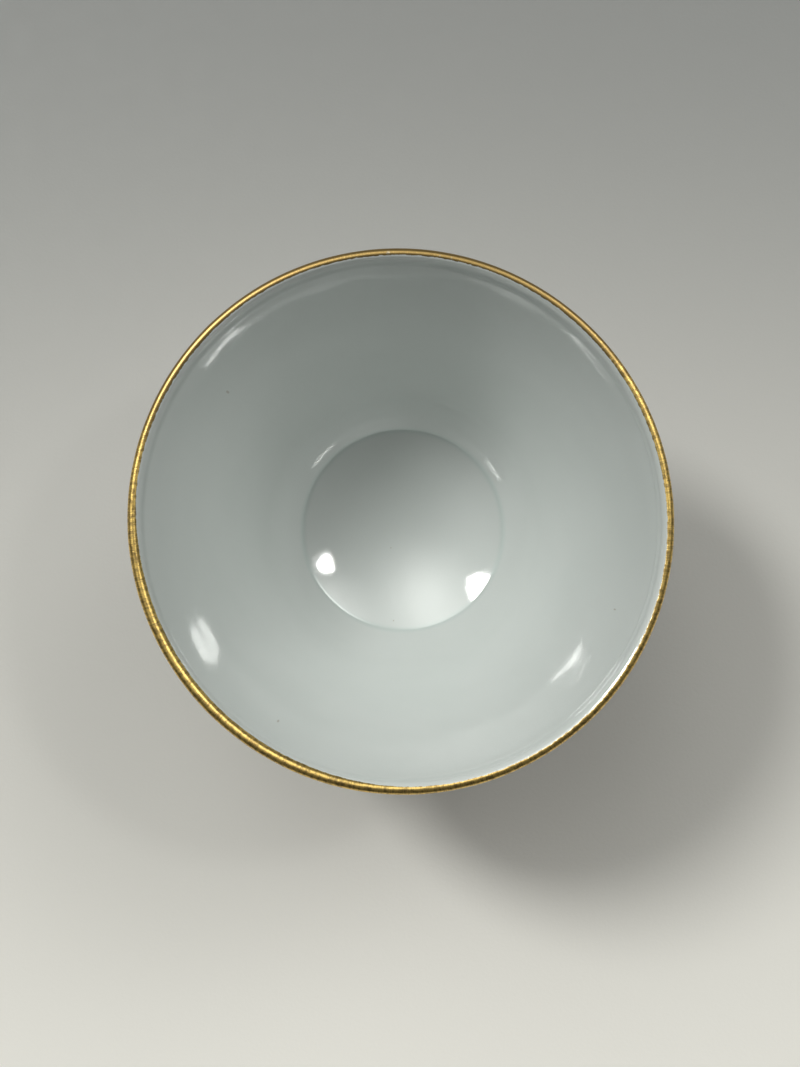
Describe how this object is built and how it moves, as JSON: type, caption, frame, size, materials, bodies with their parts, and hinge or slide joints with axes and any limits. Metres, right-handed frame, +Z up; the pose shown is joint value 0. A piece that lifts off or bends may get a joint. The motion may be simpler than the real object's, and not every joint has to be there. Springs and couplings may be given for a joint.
{
  "type": "porcelain tea cup",
  "caption": "Small flared porcelain tea cup with a dished floor, a thin lip turned out and gilded, and a hollow turned foot ring.",
  "frame": {"origin": "on the cup's axis, on the surface that the foot ring stands on", "axes": "+Z up along the cup's axis; the cup is round, so +X and +Y are equal choices"},
  "size_m": [0.08, 0.08, 0.0558],
  "materials": {
    "porcelain": "clear glossy glaze with a faint blue-green cast over white porcelain, a thin brushed gilt line on the lip, overglaze enamels outside, and a bare footrim"
  },
  "bodies": {
    "root": {"cup": "porcelain"}
  },
  "joints": []
}
